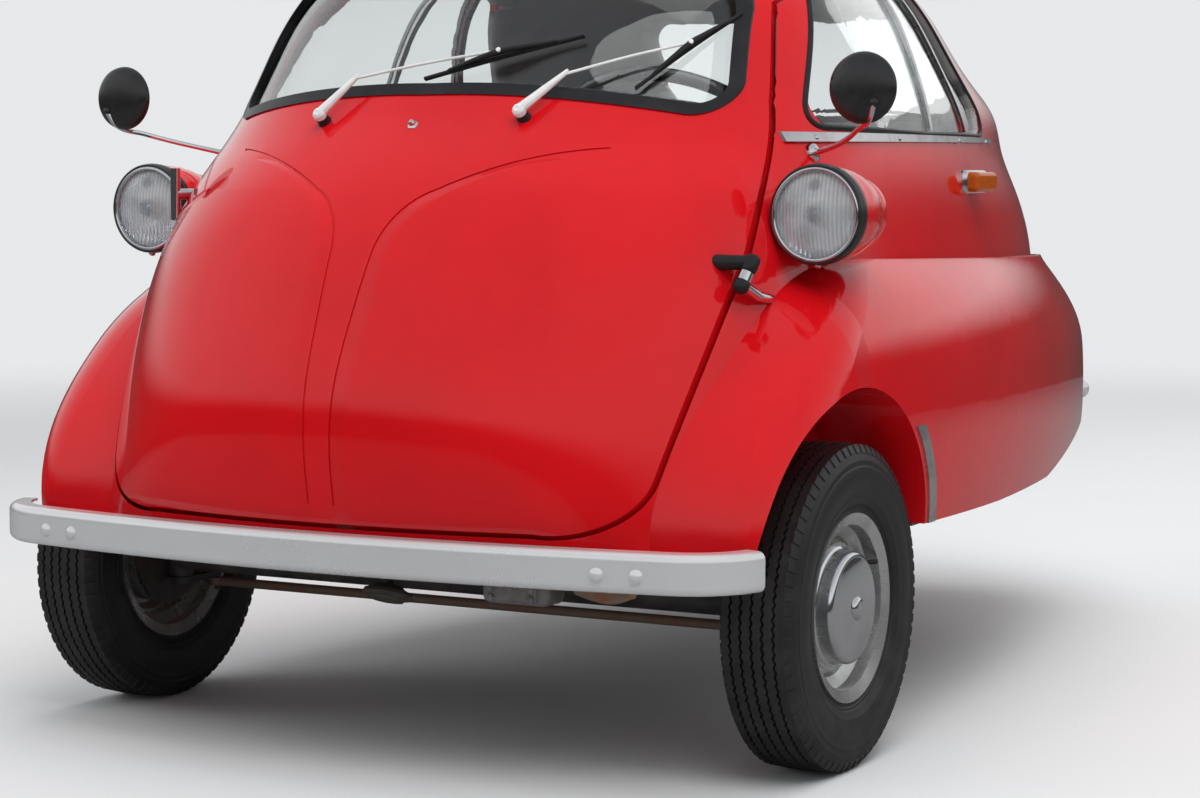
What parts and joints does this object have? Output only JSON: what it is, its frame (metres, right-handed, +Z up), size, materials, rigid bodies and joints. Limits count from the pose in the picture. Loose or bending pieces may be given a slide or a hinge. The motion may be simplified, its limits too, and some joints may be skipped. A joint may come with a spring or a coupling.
{
  "type": "bubble car",
  "caption": "Egg-shaped microcar whose whole front opens as a door carrying the steering wheel, with steered front wheels and a driven wheel at the rear.",
  "frame": {"origin": "on the ground under the middle of the car's bounding box", "axes": "+X to the car's left, -Y its front, +Z up"},
  "size_m": [1.4584, 2.3549, 1.3398],
  "materials": {
    "body_paint": "gloss",
    "frame_paint": "satin",
    "silver_paint": "satin",
    "floor_paint": "matte",
    "alloy": "satin",
    "engine_alloy": "matte",
    "bright_metal": "polished",
    "bare_steel": "matte",
    "rubber": "matte",
    "tyre": "matte",
    "clear_glass": "gloss",
    "lamp_glass": "gloss",
    "amber_plastic": "gloss",
    "red_plastic": "gloss",
    "black_plastic": "satin",
    "grey_plastic": "gloss",
    "seat_cloth": "matte",
    "roof_cloth": "matte"
  },
  "bodies": {
    "body": {"body_shell": "body_paint", "floor_pan": "floor_paint", "rear_shelf": "floor_paint", "chassis_frame": "frame_paint", "front_bumper": "silver_paint", "roof_shell": "body_paint", "body_windows": "clear_glass", "roof_fabric": "roof_cloth", "headlamp_pods": "body_paint", "headlamp_rings": "rubber", "headlamp_lenses": "lamp_glass", "mirrors": "black_plastic", "alloy_trim": "alloy", "side_indicators": "amber_plastic", "tail_lamps": "red_plastic", "rear_bumper": "silver_paint", "plate_bracket": "frame_paint", "seat_riser": "floor_paint", "seat_cushion": "seat_cloth", "seat_backrest": "seat_cloth", "engine_block": "engine_alloy", "exhaust": "bare_steel", "rear_suspension": "engine_alloy", "controls": "frame_paint", "hinge_brackets": "bright_metal"},
    "door": {"door_skin": "body_paint", "windscreen": "clear_glass", "windscreen_seal": "rubber", "wipers": "silver_paint", "door_handle": "bright_metal", "door_hinge_arms": "black_plastic", "steering_column": "frame_paint"},
    "hatch": {"engine_hatch": "body_paint"},
    "steering_wheel": {"steering_wheel": "grey_plastic"},
    "knuckle_left": {"knuckle_left": "frame_paint"},
    "knuckle_right": {"knuckle_right": "frame_paint"},
    "track_rod": {"track_rod": "bare_steel"},
    "front_wheel_left": {"front_tyre_left": "tyre", "front_rim_left": "silver_paint", "hub_cap_left": "bright_metal"},
    "front_wheel_right": {"front_tyre_right": "tyre", "front_rim_right": "silver_paint", "hub_cap_right": "bright_metal"},
    "rear_wheel": {"rear_tyre": "tyre", "rear_rim": "silver_paint"}
  },
  "joints": [
    {"name": "door_hinge", "type": "hinge", "parent": "body", "child": "door", "pos_m": [0.455, -1.0775, 0.326], "axis": [0.1914, 0.4796, 0.8563], "range_deg": [0, 75]},
    {"name": "hatch_hinge", "type": "hinge", "parent": "body", "child": "hatch", "pos_m": [-0.636, 0.2435, 0.5], "axis": [0, 0, 1], "range_deg": [0, 80]},
    {"name": "steer_left", "type": "hinge", "parent": "body", "child": "knuckle_left", "pos_m": [0.56, -0.7325, 0.245], "axis": [0, 0, 1], "range_deg": [-30, 30]},
    {"name": "steer_right", "type": "hinge", "parent": "body", "child": "knuckle_right", "pos_m": [-0.56, -0.7325, 0.245], "axis": [0, 0, 1], "range_deg": [-30, 30]},
    {"name": "track_rod_pin", "type": "hinge", "parent": "knuckle_left", "child": "track_rod", "pos_m": [0.56, -0.6325, 0.193], "axis": [0, 0, 1], "range_deg": [-30, 30]},
    {"name": "steering_wheel_turn", "type": "hinge", "parent": "door", "child": "steering_wheel", "pos_m": [0.27, -0.5175, 0.915], "axis": [-0.0454, 0.6465, 0.7616], "range_deg": [-360, 360]},
    {"name": "front_wheel_left_spin", "type": "hinge", "parent": "knuckle_left", "child": "front_wheel_left", "pos_m": [0.62, -0.7325, 0.245], "axis": [1, 0, 0], "continuous": true},
    {"name": "front_wheel_right_spin", "type": "hinge", "parent": "knuckle_right", "child": "front_wheel_right", "pos_m": [-0.62, -0.7325, 0.245], "axis": [1, 0, 0], "continuous": true},
    {"name": "rear_wheel_spin", "type": "hinge", "parent": "body", "child": "rear_wheel", "pos_m": [0, 0.7675, 0.245], "axis": [1, 0, 0], "continuous": true}
  ],
  "couplings": [
    {"joint": "steer_right", "follows": "steer_left", "ratio": 1},
    {"joint": "track_rod_pin", "follows": "steer_left", "ratio": -1},
    {"joint": "steering_wheel_turn", "follows": "steer_left", "ratio": 12}
  ]
}
